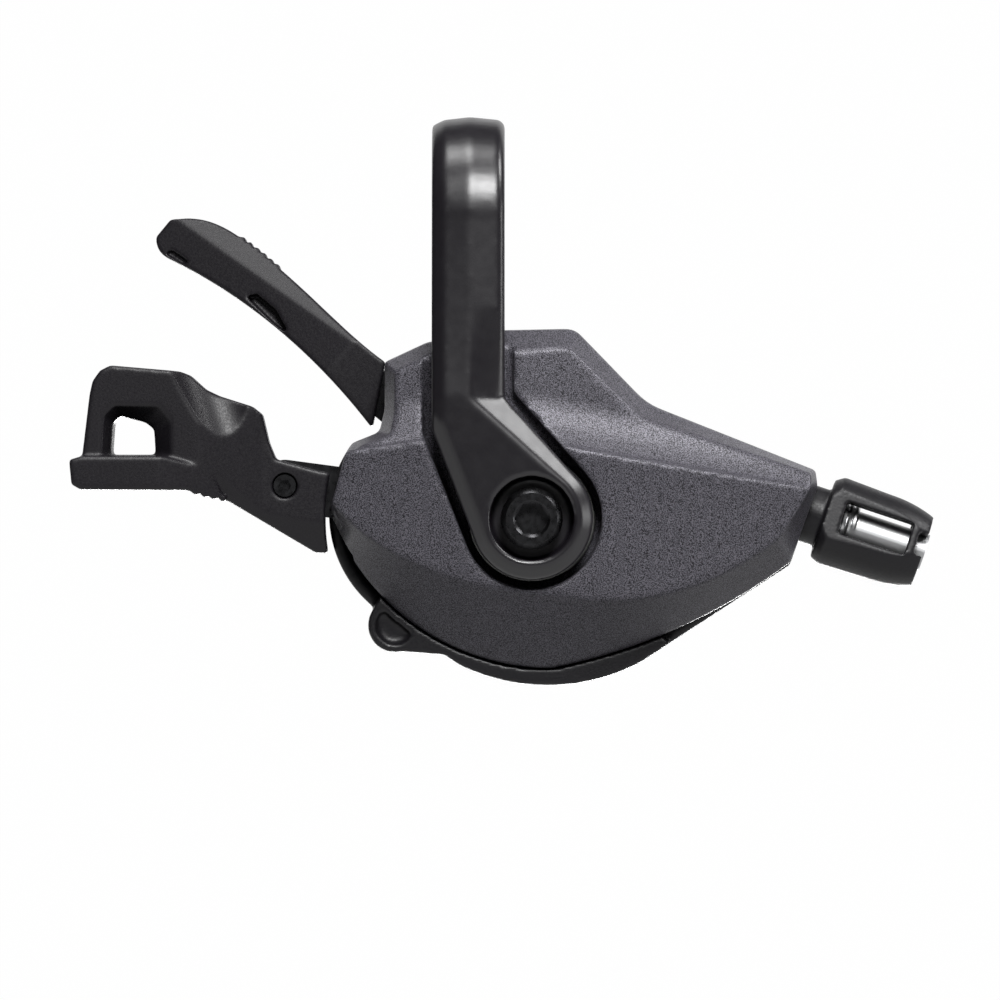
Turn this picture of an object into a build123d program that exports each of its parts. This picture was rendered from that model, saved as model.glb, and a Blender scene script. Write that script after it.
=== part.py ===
from build123d import *
import math
import os

# Trigger gear shifter for a flat handlebar, right hand, cable operated.
# Origin at the centre of the handlebar clamp. X runs along the bar towards the cable outlet,
# Z is up, and Y points away from the cover. Outlines are drawn in the X-Z plane, and depths are Y.

# Handlebar clamp
BAR_RADIUS = 11.1
CLAMP_FIT = 0.05
BAND_WALL = 3.0
BAND_WIDTH = 9.8
BAND_EDGE = 0.7
BAND_BEVEL = 1.6
BAND_ROOF = 0.4
FRONT_LUG = 2.8
CLAMP_SLIT = 1.0
REAR_LUG = 2.5
ARM_RISE = 2.0
BEND_LEFT = 12.0
BEND_RIGHT = 16.2
BOSS_RADIUS = 8.2
ARM_FACET = 4.7
ARM_BEVEL_SLOPE = 0.9
BOSS_RIM = 0.9
BEVEL_LAP = 4.0
STRIP_LEAN = 2.4

# Clamp bolt
BOLT_RADIUS = 2.5
BOLT_HEAD_RADIUS = 4.15
BOLT_HEAD_HEIGHT = 3.4
BOLT_KEY = 4.0
BOLT_KEY_DEPTH = 2.2
BOLT_KEY_MOUTH = 0.4
BOLT_RECESS_RADIUS = 5.6
BOLT_RECESS_DEPTH = 3.6
HOLE_FIT = 0.15
THREAD_FIT = 0.02

# Main axis, shared by bolt, axle, drum and both levers
PIVOT_X = 8.5
PIVOT_DROP = 40.1

# Stack of the mechanism along Y
HUB_RADIUS = 8.4
HUB_DEPTH = 4.0
BRACKET_PLATE = 1.5
COLLAR_RADIUS = 6.0
RUN_FIT = 0.05
SLIDE_GAP = 0.1
RELEASE_PLATE = 1.5
RELEASE_GAP = 0.2
AXLE_RADIUS = 4.0
AXLE_END_RADIUS = 3.0
AXLE_FLANGE_RADIUS = 7.2
AXLE_FLANGE = 0.5
DRUM_WIDTH = 7.15
RATCHET_WIDTH = 2.0
WASHER_THICKNESS = 0.5
WASHER_RADIUS = 7.0
LEVER_PLATE = 2.0
SPRING_SPACE = 2.7
BASE_PLATE = 2.0
NUT_HEIGHT = 2.6
NUT_ACROSS_FLATS = 8.0

# Drum and ratchet, all set out from the radius at which the cable winds
CABLE_RADIUS = 12.5
CABLE_DEPTH = 3.85
GROOVE_RADIUS = 0.8
DRUM_FLANGE = 1.7
DRUM_WALL = 0.9
DRUM_POCKET_INNER = 7.2
DRUM_POCKET_DEPTH = 3.2
CABLE_HEAD_RADIUS = 2.1
CABLE_HEAD_TURN = 60.0
SPIRAL_STRIP = 0.4
SPIRAL_WIDTH = 2.4
SPIRAL_TURNS = 2
TOOTH_COUNT = 24
TOOTH_SET = 1.2
TOOTH_HEIGHT = 1.8
TOOTH_LAND = 3.0

# Pawls
PAWL_REACH = 40.0
PAWL_LIFT = 10.0
PAWL_HUB_RADIUS = 2.4
PAWL_RUN_GAP = 0.4
PAWL_BAND_GAP = 0.8
PAWL_FACE_GAP = 1.5
PAWL_TIP_GAP = 0.5
PAWL_HEEL_DIP = 0.2
PAWL_HEEL_PART = 0.5
PAWL_BACK_PART = 0.6
PIN_RADIUS = 1.4
HOLDING_ANGLE = -40.0
WINDING_ANGLE = 110.0
TAIL_LENGTH = 5.5
TAIL_WIDTH = 2.4
FORK_GAP = 9.0

# Frame posts, as distance outside the pawl pivots and angle about the main axis
POST_RADIUS = 2.0
POST_BOSS = 3.2
RIGHT_POST_SET = 5.5
RIGHT_POST_ANGLE = -15.0
TOP_POST_SET = 1.5
TOP_POST_ANGLE = 75.0
SCREW_RADIUS = 1.1
SCREW_HEAD_RADIUS = 2.0
SCREW_HEAD_HEIGHT = 1.5
SCREW_KEY = 1.5
SCREW_BITE = 6.0

# Springs
SPRING_WIRE = 0.4
COIL_GAP = 0.05

# Housing
COVER_STANDOFF = 4.75
COVER_WALL = 1.8
CROWN_RADIUS = 220.0
CROWN_SINK = 0.05
CROWN_SPAN = 120.0
CREASE_STEP = 0.4
ROLL_LAP = 5.0
RIGHT_LEAN = 3.1
LEFT_LEAN = 1.6
RIM_DEPTH = 8.6
UPPER_RECESS = 3.8
UPPER_RUN = 16.0
ROLL_WIDTH = 7.0
ROLL_DEPTH = 2.9
ROLL_BEND = 0.38
POCKET_GAP = 1.2
WELL_WALL = 1.2
WELL_FLOOR = 1.5
HOUSING_WALL = 1.8
HOUSING_FLOOR = 1.9
LEVER_SWEEP_RADIUS = 24.5
LEVER_SWEEP_LEAD = 3.7
SLOT_CLEARANCE = 0.4
SLOT_LEAD = 2.0
SLOT_INSIDE = 6.0
SLOT_OUTSIDE = 8.0
OUTLET_REACH = 35.6
OUTLET_SOLID = 27.0
TAIL_TAPER_START = 25.5
TAIL_TAPER_LENGTH = 13.2
TAIL_REACH = 6.7
EAR_PLACE = (-18.4, -14.4)
EAR_RADIUS = 3.65
EAR_DEPTH = 6.0
EAR_DISH = 1.0
EAR_RIM = 1.1
TOP_CORNER_RADIUS = 2.6
TOP_BEND_RADIUS = 9.0
LIP_SET = 0.4
LIP_GAP = 0.15
LIP_SPAN = (212.0, 318.0)
NUT_ROOM = 1.6
COVER_SCREW_PLACE = (30.5, -4.0)
COVER_SCREW_BITE = 2.5

# Levers
MAIN_ANGLE = 140.5
MAIN_SWEEP = 45.0
MAIN_HUB_LAND = 1.0
MAIN_ARM_WIDTH = 5.6
MAIN_ARM_INSET = 7.5
MAIN_CAP_GAP = 0.5
MAIN_CAP_LAP = 5.0
MAIN_CAP_FRONT = 2.2
MAIN_CAP_BACK = 4.3
MAIN_CAP_STRAIGHT = 34.0
MAIN_TIP_REACH = 64.0
MAIN_TIP_FRONT = 8.3
MAIN_TIP_BACK = 17.0
MAIN_TIP_FLAT = 6.0
MAIN_EDGE_DROP = 1.5
MAIN_DISH = 1.5
MAIN_SLOT = 0.8
MAIN_RIBS = 6
MAIN_RIB_RADIUS = 0.35
MAIN_RIB_START = 0.56
MAIN_RIB_STEP = 0.034
RELEASE_ANGLE = 172.4
RELEASE_SWING = 10.0
RELEASE_ARM_WIDTH = 7.0
RELEASE_ARM_INSET = 9.2
RELEASE_CAP_RADIUS = 27.8
RELEASE_RING_RADIUS = 9.0
RELEASE_CAP_RISE = 2.85
RELEASE_CAP_FALL = 3.15
RELEASE_TAPER = (12.0, 26.0)
RELEASE_TAPER_LAP = 3.8
RELEASE_SCREW_HEAD = 1.5
FINGER_RISE = 6.85
FINGER_FALL = 6.65
PAD_RISE = 5.35
PAD_FALL = 6.15
ARM_EDGE_DROP = 1.7
WINDOW_FLARE = 2.6
THUMB_RADIUS = 6.0
THUMB_SET = 3.2
THUMB_LEAN = (2.7, -2.8, -7.8)
RELEASE_RIBS = 4
RELEASE_RIB_RADIUS = 0.45
CAP_FIT = 0.05

# Cable adjuster, along its own axis
OUTLET_SLOPE = 18.5
KNOB_START = 37.4
KNOB_LENGTH = 14.2
KNOB_RADIUS = 6.25
KNOB_END_RADIUS = 4.9
KNOB_CAVITY_RADIUS = 3.9
KNOB_WALL = 1.6
KNOB_FLAT = 5.1
KNOB_WINDOW = 4.6
KNOB_WINDOW_TURN = 12.0
KNOB_LEAD = 1.2
KNOB_SHOULDER = 0.8
KNOB_DRAFT = 0.25
KNOB_BARREL = 0.55
KNOB_NOTCH = 3.2
KNOB_NOTCH_DEPTH = 1.3
KNOB_SIDES = 3
SPIGOT_RADIUS = 4.0
SPIGOT_LENGTH = 8.4
TUBE_RADIUS = 2.5
TUBE_BORE = 0.9
TUBE_PROUD = 0.3
SOCKET_RADIUS = 2.15
SOCKET_DEPTH = 5.0
ADJUSTER_WIRE = 0.35
ADJUSTER_TURNS = 3

# Depths worked out from the sizes above
BORE_RADIUS = BAR_RADIUS + CLAMP_FIT
BAND_RADIUS = BORE_RADIUS + BAND_WALL
SLIT_FRONT = FRONT_LUG - BAND_RADIUS
SLIT_BACK = SLIT_FRONT + CLAMP_SLIT
SEAT = SLIT_BACK + REAR_LUG
ARM_CREASE_RADIUS = BOLT_RECESS_RADIUS + BOSS_RIM
BOSS_FACE = -BAND_RADIUS - ARM_RISE
BRACKET_BACK = SEAT + HUB_DEPTH
RELEASE_FRONT = BRACKET_BACK + RELEASE_GAP
RELEASE_BACK = RELEASE_FRONT + RELEASE_PLATE
COLLAR_BACK = RELEASE_BACK + SLOT_CLEARANCE
PARTING = RELEASE_BACK + SLOT_CLEARANCE + SLIDE_GAP
FLANGE_BACK = COLLAR_BACK + AXLE_FLANGE
DRUM_FRONT = FLANGE_BACK + SLIDE_GAP
DRUM_BACK = DRUM_FRONT + DRUM_WIDTH
RATCHET_BACK = DRUM_BACK + RATCHET_WIDTH
WASHER_FRONT = RATCHET_BACK + SLIDE_GAP
WASHER_BACK = WASHER_FRONT + WASHER_THICKNESS
PLATE_FRONT = WASHER_BACK + SLIDE_GAP
PLATE_BACK = PLATE_FRONT + LEVER_PLATE
BASE_FRONT = PLATE_BACK + SPRING_SPACE
BASE_BACK = BASE_FRONT + BASE_PLATE
NUT_BACK = BASE_BACK + NUT_HEIGHT
FLOOR_FRONT = BASE_BACK + SLIDE_GAP
FLOOR_BACK = FLOOR_FRONT + HOUSING_FLOOR
CABLE_Y = DRUM_FRONT + CABLE_DEPTH
COVER_FACE = SEAT - COVER_STANDOFF
COVER_RIM = COVER_FACE + RIM_DEPTH
WELL_BACK = SEAT + SLIDE_GAP + WELL_FLOOR
LEVER_SWEEP_FRONT = PLATE_FRONT - LEVER_SWEEP_LEAD
TAIL_DEPTH = CABLE_Y + TAIL_REACH
PAWL_FRONT = DRUM_BACK + SLIDE_GAP
PAWL_BACK = RATCHET_BACK - SLIDE_GAP

MAIN_CAP_ROOT = LEVER_SWEEP_RADIUS + MAIN_CAP_GAP
MAIN_SCREW_REACH = MAIN_CAP_ROOT + MAIN_ARM_INSET - MAIN_ARM_WIDTH / 2
RELEASE_SCREW_REACH = RELEASE_CAP_RADIUS + RELEASE_ARM_INSET - RELEASE_ARM_WIDTH / 2

DRUM_FLANGE_RADIUS = CABLE_RADIUS + DRUM_FLANGE
DRUM_POCKET_OUTER = CABLE_RADIUS - GROOVE_RADIUS - DRUM_WALL
TOOTH_TIP_RADIUS = DRUM_FLANGE_RADIUS - TOOTH_SET
TOOTH_ROOT_RADIUS = TOOTH_TIP_RADIUS - TOOTH_HEIGHT
PAWL_PIVOT_RADIUS = DRUM_FLANGE_RADIUS + PAWL_HUB_RADIUS + PAWL_RUN_GAP
PAWL_BAND_INNER = TOOTH_TIP_RADIUS + PAWL_BAND_GAP
PAWL_BAND_OUTER = PAWL_PIVOT_RADIUS - PAWL_BAND_GAP
POSTS = (
    (PAWL_PIVOT_RADIUS + RIGHT_POST_SET, RIGHT_POST_ANGLE),
    (PAWL_PIVOT_RADIUS + TOP_POST_SET, TOP_POST_ANGLE),
)

RELEASE_CAP_FRONT = RELEASE_FRONT - RELEASE_CAP_RISE
RELEASE_CAP_BACK = RELEASE_BACK + RELEASE_CAP_FALL
FINGER_FRONT = RELEASE_FRONT - FINGER_RISE
FINGER_BACK = RELEASE_BACK + FINGER_FALL
PAD_FRONT = RELEASE_FRONT - PAD_RISE
PAD_BACK = RELEASE_BACK + PAD_FALL
RELEASE_TAPER_ROOT = PIVOT_X - RELEASE_CAP_RADIUS + RELEASE_TAPER_LAP
LIP_FRONT = COVER_RIM + LIP_SET
COVER_SCREW_SEAT = TAIL_DEPTH - SCREW_HEAD_HEIGHT

KNOB_END = KNOB_START + KNOB_LENGTH
CAVITY_START = KNOB_START + KNOB_WALL
CAVITY_END = KNOB_END - KNOB_WALL

PIVOT = (PIVOT_X, -PIVOT_DROP)
TOOTH_PITCH = 360.0 / TOOTH_COUNT
FACE_PHASE = HOLDING_ANGLE + PAWL_REACH + PAWL_FACE_GAP
REACH_FAR = 200.0


def at(dx, dz):
    """Point of the X-Z plane, measured from the main axis."""
    return (PIVOT_X + dx, dz - PIVOT_DROP)


def polar(radius, angle):
    """Point of the X-Z plane by radius and angle about the main axis."""
    turn = math.radians(angle)
    return at(radius * math.cos(turn), radius * math.sin(turn))


def slab(outline, front, back):
    """Prism of an X-Z outline between two depths."""
    return extrude(Plane.XZ.offset(-back) * outline, amount=back - front, dir=(0, -1, 0))


def disc(radius, front, back, centre=PIVOT):
    """Round prism about a point of the X-Z plane."""
    return slab(Pos(*centre) * Circle(radius), front, back)


def polygon(*points):
    """Outline from points of the X-Z plane, in either order."""
    outline = Polygon(*points, align=None)
    if outline.face().normal_at().Z < 0:
        return Polygon(*reversed(points), align=None)
    return outline


def rounded(outline, corners):
    """Outline with some corners rounded, each given by a point near it and a radius."""
    for point, radius in corners:
        outline = fillet(outline.vertices().sort_by_distance((*point, 0))[0], radius)
    return outline


def flat(outline, depth):
    """X-Z outline as a face at one depth."""
    return (Plane.XZ.offset(-depth) * outline).faces()[0]


def loft_between(front_outline, front, back_outline, back):
    """Straight-sided body between two outlines at two depths."""
    return loft([flat(front_outline, front), flat(back_outline, back)], ruled=True)


def along_edge(start, end, section, lap=0.0, lean=0.0):
    """Prism along a line of the X-Z plane; the section gives distance to the left and -depth."""
    along = Vector(end[0] - start[0], lean, end[1] - start[1])
    unit = along.normalized()
    side = Vector(-unit.Z, 0, unit.X)
    plane = Plane(origin=Vector(start[0], 0, start[1]) - unit * lap, x_dir=side, z_dir=unit)
    return extrude((plane * section).faces()[0], amount=along.length + 2 * lap, dir=unit)


def edge_prism(start, end, profile, lap=0.0):
    """Prism along a line of the X-Z plane; profile points are (distance to its left, depth)."""
    return along_edge(start, end, polygon(*[(left, -depth) for left, depth in profile]), lap)


def wedge(first, second, third, reach):
    """Space in front of a plane through three points of (x, z, depth), within an outline."""
    a, b, c = [Vector(x, depth, z) for x, z, depth in (first, second, third)]
    normal = (b - a).cross(c - a).normalized()
    if normal.Y > 0:
        normal = -normal
    ahead = extrude(Plane(origin=a, z_dir=normal) * Rectangle(REACH_FAR, REACH_FAR), amount=REACH_FAR)
    return ahead & slab(reach, -REACH_FAR, REACH_FAR)


def bevel(width, drop, front):
    """Profile for edge_prism that takes off an edge on the left of its line."""
    return [(width, front - drop), (width, front + 2 * drop), (-2 * width, front - drop)]


def sector(inner, outer, start, end):
    """Ring sector about the main axis."""
    middle = (start + end) / 2
    sides = Line(polar(inner, start), polar(outer, start)) + Line(polar(inner, end), polar(outer, end))
    rims = ThreePointArc(polar(inner, start), polar(inner, middle), polar(inner, end)) + ThreePointArc(
        polar(outer, start), polar(outer, middle), polar(outer, end)
    )
    return make_face((sides + rims).edges())


def bar_outline(start, end, width):
    """Rounded bar between two points."""
    caps = [Pos(*start) * Circle(width / 2), Pos(*end) * Circle(width / 2)]
    return make_hull([edge for cap in caps for edge in cap.edges()])


def coil(radius, wire, turns, pitch):
    """Open coil along +Z from the origin."""
    path = Helix(pitch=pitch, height=pitch * turns, radius=radius)
    return sweep(Plane(origin=path @ 0, z_dir=path % 0) * RegularPolygon(wire, 6), path=path)


def coil_at(centre, front, radius, wire, turns):
    """Close-wound coil about a Y axis through a point of the X-Z plane."""
    pitch = 2 * wire + COIL_GAP
    placed = Plane(origin=(centre[0], front + wire, centre[1]), x_dir=(1, 0, 0), z_dir=(0, 1, 0))
    return placed.location * coil(radius, wire, turns, pitch)


def socket_screw(centre, head_front, length, into=1, head_radius=SCREW_HEAD_RADIUS):
    """Small socket screw along Y; into is +1 when it enters towards +Y."""
    head = disc(head_radius, 0, SCREW_HEAD_HEIGHT, (0, 0))
    shank = disc(SCREW_RADIUS, SCREW_HEAD_HEIGHT, length, (0, 0))
    key = slab(RegularPolygon(SCREW_KEY / math.sqrt(3), 6), 0, SCREW_HEAD_HEIGHT / 2)
    screw = head + shank - key
    if into < 0:
        screw = screw.rotate(Axis.Z, 180)
    return Pos(centre[0], head_front, centre[1]) * screw


# Clamp band

def arm_corners(grow):
    """Left and right corners where the arm bends across to the boss."""
    half = BAND_WIDTH / 2 + grow
    left = (-half, BEND_LEFT - PIVOT_DROP - grow / 2)
    return left, (half, BEND_RIGHT - PIVOT_DROP + grow / 2)


def tangent(point, radius, side):
    """Angle at which a line from a point touches a circle about the main axis, on its +1 or -1 side."""
    away = Vector(point[0] - PIVOT_X, point[1] + PIVOT_DROP)
    bearing = math.degrees(math.atan2(away.Y, away.X))
    return bearing + side * math.degrees(math.acos(radius / away.length))


def boss_tangents(grow):
    """Points where the two edges of the bend run into the boss."""
    radius = BOSS_RADIUS + grow
    left, right = arm_corners(grow)
    inside = radius - THREAD_FIT
    return polar(inside, tangent(left, radius, 1)), polar(inside, tangent(right, radius, -1))


def arm_outlines(grow=0.0):
    """Arm of the clamp seen from the front: strip down from the band, bend across, and boss."""
    left, right = arm_corners(grow)
    strip = polygon((left[0], 0), (right[0], 0), right, left)
    bend = polygon((left[0], left[1] + BAND_EDGE), left, *boss_tangents(grow), right)
    return [strip, bend, Pos(*PIVOT) * Circle(BOSS_RADIUS + grow)]


def band_section(front, left_drop, right_drop):
    """Section of the band: X, and distance from the bar's axis; both halves fall away from a ridge."""
    half = BAND_WIDTH / 2
    left = front - left_drop
    right = front - right_drop
    return [
        (half, right - BAND_EDGE), (half - BAND_EDGE, right), (half - ARM_FACET, front),
        (BAND_BEVEL - half, left), (-half, left - BAND_BEVEL / 2),
    ]


def strip_section(front, left_drop, right_drop, height):
    """Section of the arm's straight strip at one height."""
    half = BAND_WIDTH / 2
    corners = [(-half, -SEAT), (half, -SEAT), *band_section(-front, left_drop, right_drop)]
    return (Plane.XY.offset(height) * polygon(*[(x, -depth) for x, depth in corners])).faces()[0]


def arm_facet():
    """Wedge taken off the right of the bend; it runs into the bevel round the boss."""
    corner = arm_corners(0)[1]
    start = (corner[0] - ARM_FACET, corner[1])
    angle = tangent(start, ARM_CREASE_RADIUS, -1)
    touch = polar(ARM_CREASE_RADIUS, angle)
    far = polar(2 * BOSS_RADIUS, angle)
    outward = (far[0] - touch[0], far[1] - touch[1])
    reach = polygon(start, touch, far, (start[0] + outward[0], start[1] + outward[1]))
    drop = ARM_BEVEL_SLOPE * (2 * BOSS_RADIUS - ARM_CREASE_RADIUS)
    return wedge((*start, BOSS_FACE), (*touch, BOSS_FACE), (*far, BOSS_FACE + drop), reach)


def boss_bevel():
    """Bevel round the boss between the two edges of the bend."""
    left, right = arm_corners(0)
    start = tangent((right[0] - ARM_FACET, right[1]), ARM_CREASE_RADIUS, -1)
    end = tangent(left, BOSS_RADIUS, 1) - 360
    low = BOSS_FACE + ARM_BEVEL_SLOPE * BOSS_RADIUS
    wide = ARM_CREASE_RADIUS + BOSS_RADIUS
    cone = loft_between(Pos(*PIVOT) * Circle(ARM_CREASE_RADIUS), BOSS_FACE, Pos(*PIVOT) * Circle(wide), low)
    return slab(sector(ARM_CREASE_RADIUS, wide, end, start), BOSS_FACE, low) - cone


def make_clamp_band():
    half = BAND_WIDTH / 2
    wall = [(-half, BORE_RADIUS), (half, BORE_RADIUS), *band_section(BAND_RADIUS, BAND_ROOF, BAND_ROOF)]
    ring = revolve(polygon(*wall), Axis.X)
    left, right = arm_corners(0)
    left_end, right_end = boss_tangents(0)
    bend = slab(polygon((-half, right[1]), left, left_end, right_end, right), BOSS_FACE, SEAT)
    arm = bend + disc(BOSS_RADIUS, BOSS_FACE, SEAT) - arm_facet() - boss_bevel()
    width = BOSS_RADIUS - ARM_CREASE_RADIUS
    arm -= edge_prism(left_end, left, bevel(width, width * ARM_BEVEL_SLOPE, BOSS_FACE), BEVEL_LAP)
    arm -= edge_prism(left, (-half, right[1]), bevel(BAND_BEVEL, BAND_BEVEL / 2, BOSS_FACE), BEVEL_LAP)
    middle = (-BAND_RADIUS + BOSS_FACE) / 2
    sections = [
        strip_section(-BAND_RADIUS, BAND_ROOF, BAND_ROOF, 0),
        strip_section(middle, BAND_ROOF / 2, BAND_ROOF, right[1] / 2),
        strip_section(BOSS_FACE, 0, STRIP_LEAN, right[1]),
    ]
    band = ring + loft(sections, ruled=True) + arm
    band -= extrude(Plane.YZ.offset(-BAND_WIDTH) * Circle(BORE_RADIUS), amount=2 * BAND_WIDTH)
    bottom = -PIVOT_DROP - BOSS_RADIUS
    band -= slab(Pos(0, bottom) * Rectangle(REACH_FAR, -2 * bottom), SLIT_FRONT, SLIT_BACK)
    band -= disc(BOLT_RECESS_RADIUS, BOSS_FACE, BOSS_FACE + BOLT_RECESS_DEPTH)
    return band - disc(BOLT_RADIUS + HOLE_FIT, BOSS_FACE, SEAT)


def make_clamp_bolt():
    seat = BOSS_FACE + BOLT_RECESS_DEPTH
    top = seat - BOLT_HEAD_HEIGHT
    head = disc(BOLT_HEAD_RADIUS, top, seat)
    head = chamfer(head.edges().filter_by(GeomType.CIRCLE).sort_by(Axis.Y)[0], BAND_EDGE)
    shank = disc(BOLT_RADIUS, seat, BRACKET_BACK - RELEASE_GAP)
    corner = BOLT_KEY / math.sqrt(3)
    key = slab(Pos(*PIVOT) * RegularPolygon(corner, 6), top, top + BOLT_KEY_DEPTH)
    wide = Pos(*PIVOT) * Circle(corner + BOLT_KEY_MOUTH / 2)
    narrow = Pos(*PIVOT) * Circle(corner - BOLT_KEY_MOUTH / 2)
    return head + shank - key - loft_between(wide, top, narrow, top + BOLT_KEY_MOUTH)


# Steel frame

def frame_outline(hub):
    """Plate with arms from a round hub to the posts and the holding pawl pin."""
    outline = Pos(*PIVOT) * Circle(hub)
    for radius, angle in POSTS:
        outline += bar_outline(PIVOT, polar(radius, angle), 2 * POST_BOSS)
    return outline + bar_outline(PIVOT, polar(PAWL_PIVOT_RADIUS, HOLDING_ANGLE), 2 * PAWL_HUB_RADIUS)


def make_bracket():
    plate_front = BRACKET_BACK - BRACKET_PLATE
    bracket = slab(frame_outline(HUB_RADIUS), plate_front, BRACKET_BACK)
    bracket += disc(HUB_RADIUS, SEAT, BRACKET_BACK)
    bracket += disc(COLLAR_RADIUS, BRACKET_BACK, COLLAR_BACK)
    bracket -= disc(BOLT_RADIUS + THREAD_FIT, SEAT, BRACKET_BACK)
    bracket -= disc(AXLE_END_RADIUS + THREAD_FIT, BRACKET_BACK, COLLAR_BACK)
    pin_hole = polar(PAWL_PIVOT_RADIUS, HOLDING_ANGLE)
    return bracket - disc(PIN_RADIUS + THREAD_FIT, plate_front, BRACKET_BACK, pin_hole)


def make_base_plate():
    plate = slab(frame_outline(HUB_RADIUS), BASE_FRONT, BASE_BACK)
    plate -= disc(AXLE_END_RADIUS + THREAD_FIT, BASE_FRONT, BASE_BACK)
    for radius, angle in POSTS:
        plate -= disc(SCREW_RADIUS + HOLE_FIT, BASE_FRONT, BASE_BACK, polar(radius, angle))
    pin_hole = polar(PAWL_PIVOT_RADIUS, HOLDING_ANGLE)
    return plate - disc(PIN_RADIUS + THREAD_FIT, BASE_FRONT, BASE_BACK, pin_hole)


def make_frame_posts():
    posts = []
    screw_depth = BASE_FRONT - SCREW_BITE - SLIDE_GAP
    for radius, angle in POSTS:
        centre = polar(radius, angle)
        post = disc(POST_RADIUS, BRACKET_BACK, BASE_FRONT, centre)
        posts.append(post - disc(SCREW_RADIUS + THREAD_FIT, screw_depth, BASE_FRONT, centre))
    return posts


def make_housing_screws():
    length = HOUSING_FLOOR + BASE_PLATE + SCREW_BITE
    return [socket_screw(polar(radius, angle), FLOOR_BACK, length, -1) for radius, angle in POSTS]


def make_axle():
    axle = disc(AXLE_END_RADIUS, BRACKET_BACK, COLLAR_BACK)
    axle += disc(AXLE_FLANGE_RADIUS, COLLAR_BACK, FLANGE_BACK)
    axle += disc(AXLE_RADIUS, FLANGE_BACK, BASE_FRONT)
    return axle + disc(AXLE_END_RADIUS, BASE_FRONT, NUT_BACK)


def make_axle_nut():
    nut = slab(Pos(*PIVOT) * RegularPolygon(NUT_ACROSS_FLATS / math.sqrt(3), 6), BASE_BACK, NUT_BACK)
    return nut - disc(AXLE_END_RADIUS + THREAD_FIT, BASE_BACK, NUT_BACK)


def make_thrust_washer():
    return disc(WASHER_RADIUS, WASHER_FRONT, WASHER_BACK) - disc(
        AXLE_RADIUS + RUN_FIT, WASHER_FRONT, WASHER_BACK
    )


# Drum and ratchet

def make_cable_drum():
    drum = disc(DRUM_FLANGE_RADIUS, DRUM_FRONT, DRUM_BACK)
    groove_floor = CABLE_RADIUS - GROOVE_RADIUS
    groove = disc(DRUM_FLANGE_RADIUS, CABLE_Y - GROOVE_RADIUS, CABLE_Y + GROOVE_RADIUS)
    drum -= groove - disc(groove_floor, CABLE_Y - GROOVE_RADIUS, CABLE_Y + GROOVE_RADIUS)
    pocket = Pos(*PIVOT) * (Circle(DRUM_POCKET_OUTER) - Circle(DRUM_POCKET_INNER))
    drum -= slab(pocket, DRUM_FRONT, DRUM_FRONT + DRUM_POCKET_DEPTH)
    head_seat = polar(CABLE_RADIUS, OUTLET_SLOPE + CABLE_HEAD_TURN)
    drum -= disc(CABLE_HEAD_RADIUS, CABLE_Y - GROOVE_RADIUS, DRUM_BACK, head_seat)
    return drum - disc(AXLE_RADIUS + RUN_FIT, DRUM_FRONT, DRUM_BACK)


def make_ratchet_wheel():
    points = []
    for tooth in range(TOOTH_COUNT):
        face = FACE_PHASE + tooth * TOOTH_PITCH
        points += [polar(TOOTH_ROOT_RADIUS, face), polar(TOOTH_TIP_RADIUS, face)]
        points.append(polar(TOOTH_TIP_RADIUS, face + TOOTH_LAND))
    wheel = slab(polygon(*points), DRUM_BACK, RATCHET_BACK)
    return wheel - disc(AXLE_RADIUS + RUN_FIT, DRUM_BACK, RATCHET_BACK)


def spiral_edge(start, growth):
    """Flat spiral of half circles about the main axis, each wider than the last by a growth."""
    halves = []
    left, right = -start, start
    for half in range(2 * SPIRAL_TURNS):
        side = 1 if half % 2 == 0 else -1
        if side > 0:
            left = -right - growth
        else:
            right = -left + growth
        middle = (left + right) / 2
        halves.append(
            ThreePointArc(at(right, 0), at(middle, side * (right - left) / 2), at(left, 0))
        )
    return halves


def make_drum_spring():
    room = DRUM_POCKET_OUTER - DRUM_POCKET_INNER - 2 * SPIRAL_STRIP
    inner = DRUM_POCKET_INNER + SPIRAL_STRIP
    growth = (room - SPIRAL_STRIP) / (2 * SPIRAL_TURNS)
    edge_in = spiral_edge(inner, growth)
    edge_out = spiral_edge(inner + SPIRAL_STRIP, growth)
    ends = [Line(edge_in[0] @ 0, edge_out[0] @ 0), Line(edge_in[-1] @ 0, edge_out[-1] @ 0)]
    strip = make_face(edge_in + edge_out + ends)
    back = DRUM_FRONT + DRUM_POCKET_DEPTH
    return slab(strip, back - SPIRAL_WIDTH, back)


# Pawls

def pawl_outline(pivot_angle):
    """Hooked pawl, drawn engaged; its tip lies PAWL_REACH on from its pivot."""
    tip = pivot_angle + PAWL_REACH
    middle = (PAWL_BAND_INNER + PAWL_BAND_OUTER) / 2
    outline = Pos(*polar(PAWL_PIVOT_RADIUS, pivot_angle)) * Circle(PAWL_HUB_RADIUS)
    outline += sector(PAWL_BAND_INNER, PAWL_BAND_OUTER, pivot_angle, tip)
    hook = polygon(
        polar(TOOTH_ROOT_RADIUS + PAWL_TIP_GAP, tip),
        polar(TOOTH_TIP_RADIUS - PAWL_HEEL_DIP, tip - TOOTH_PITCH * PAWL_HEEL_PART),
        polar(middle, tip - TOOTH_PITCH * PAWL_BACK_PART),
        polar(middle, tip),
    )
    return outline + hook


def lifted(shape, pivot_angle):
    """Turns a pawl clear of the teeth about its own pivot."""
    centre = polar(PAWL_PIVOT_RADIUS, pivot_angle)
    return shape.rotate(Axis((centre[0], 0, centre[1]), (0, 1, 0)), PAWL_LIFT)


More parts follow.
